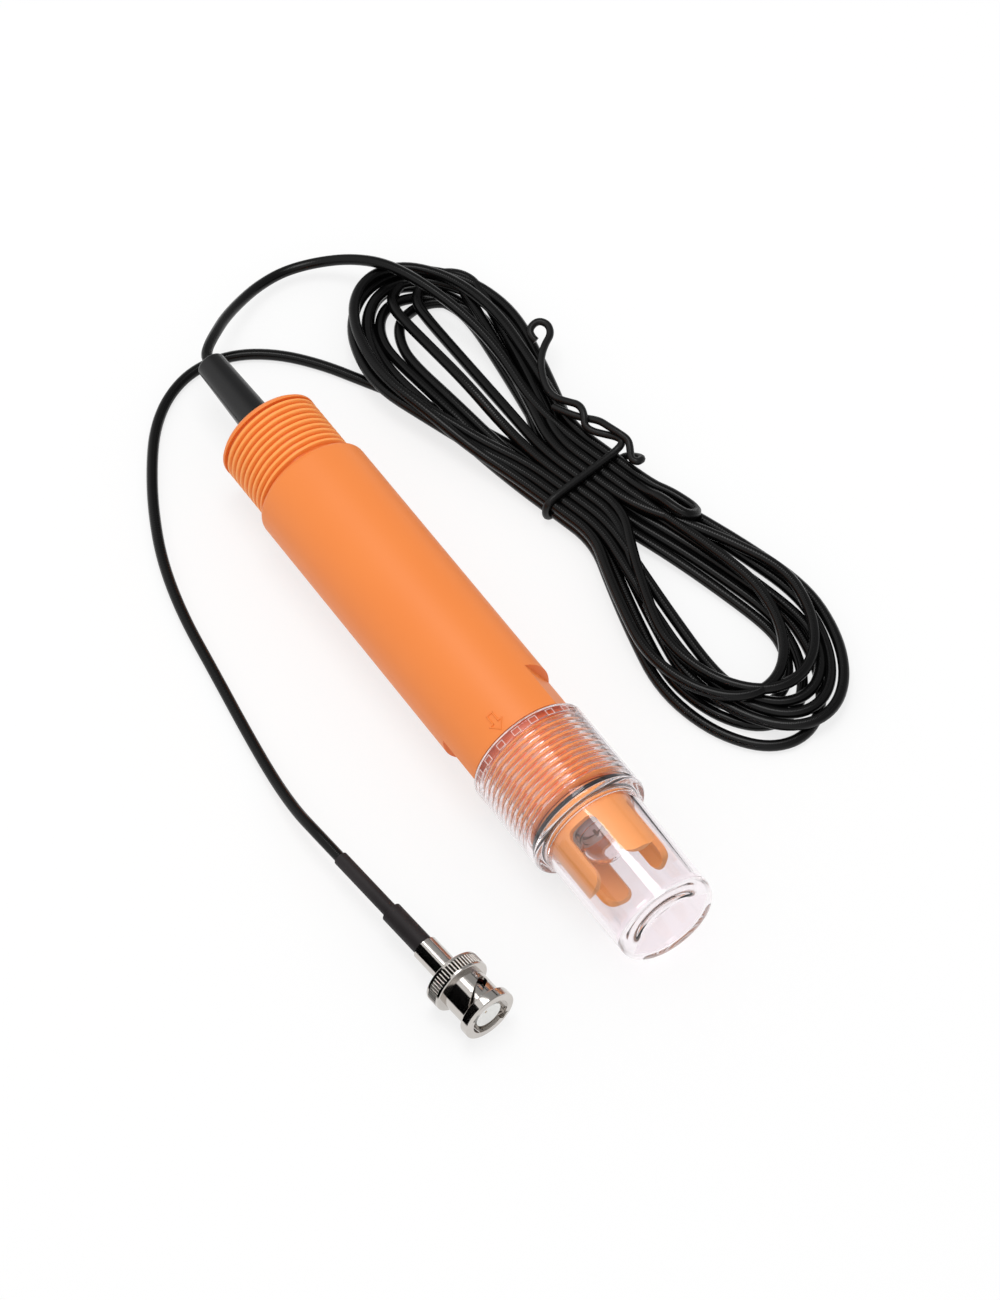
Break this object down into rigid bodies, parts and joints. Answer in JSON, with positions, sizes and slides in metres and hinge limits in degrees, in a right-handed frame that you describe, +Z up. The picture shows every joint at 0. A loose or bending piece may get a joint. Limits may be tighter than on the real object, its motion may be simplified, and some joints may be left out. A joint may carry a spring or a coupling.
{
  "type": "ph electrode",
  "caption": "In-line pH electrode with a pipe-threaded body, a clear screw-on cap over its guarded glass bulb, and a coaxial lead tied in a hank with a bayonet plug.",
  "frame": {"origin": "on the floor under the middle of the electrode, measured from the boot's tip to the cap's end", "axes": "+X along the electrode towards its sensing tip, +Z up, the tied hank on the +Y side"},
  "size_m": [0.2186, 0.1405, 0.0309],
  "materials": {
    "orange_moulding": "satin moulded",
    "clear_glass": "clear blown",
    "clear_moulding": "clear polished",
    "seal_rubber": "smooth",
    "boot_rubber": "satin",
    "cord_jacket": "glossy with a faint braid",
    "tie_jacket": "glossy",
    "nickel_plate": "bright plated",
    "porous_ceramic": "matte porous",
    "silver_wire": "drawn",
    "potting_resin": "cast",
    "white_insulator": "waxy",
    "gold_contact": "bright plated",
    "soft_gasket": "soft",
    "spring_steel": "rolled",
    "shrink_sleeve": "matte"
  },
  "bodies": {
    "electrode": {"body_shell": "orange_moulding", "glass_stem": "clear_glass", "strain_relief": "boot_rubber", "cable_hank": "cord_jacket", "cable_tie": "tie_jacket", "junction_ring": "porous_ceramic", "stem_seal": "seal_rubber", "stem_stopper": "boot_rubber", "measuring_wire": "silver_wire", "reference_wire": "silver_wire", "potting_plug": "potting_resin", "cable_lead": "cord_jacket", "cable_tail": "cord_jacket", "connector_body": "nickel_plate", "connector_insulator": "white_insulator", "connector_pin": "gold_contact", "connector_gasket": "soft_gasket", "spring_washer": "spring_steel", "crimp_ferrule": "nickel_plate", "connector_boot": "shrink_sleeve", "cable_sleeve": "shrink_sleeve"},
    "cap_seal": {"cap_seal_ring": "seal_rubber"},
    "cap": {"protective_cap": "clear_moulding"},
    "nut_carrier": {"thrust_washer": "spring_steel"},
    "coupling_nut": {"coupling_nut": "nickel_plate"}
  },
  "joints": [
    {"name": "cap_travel", "type": "slide", "parent": "electrode", "child": "cap_seal", "axis": [1, 0, 0], "range_m": [0, 0.0218]},
    {"name": "cap_unscrew", "type": "hinge", "parent": "cap_seal", "child": "cap", "pos_m": [0.05, 0, 0.01543], "axis": [1, 0, 0], "range_deg": [0, 4320]},
    {"name": "nut_float", "type": "slide", "parent": "electrode", "child": "nut_carrier", "axis": [0.9962, 0.0872, 0], "range_m": [0, 0.0005], "stiffness_N_per_m": 600, "springref_m": -0.002, "deforming": ["spring_washer"]},
    {"name": "nut_spin", "type": "hinge", "parent": "nut_carrier", "child": "coupling_nut", "pos_m": [0.09, -0.0449, 0.00735], "axis": [0.9962, 0.0872, 0], "continuous": true}
  ],
  "couplings": [
    {"joint": "cap_travel", "follows": "cap_unscrew", "m_per_rad": 0.00028876}
  ]
}
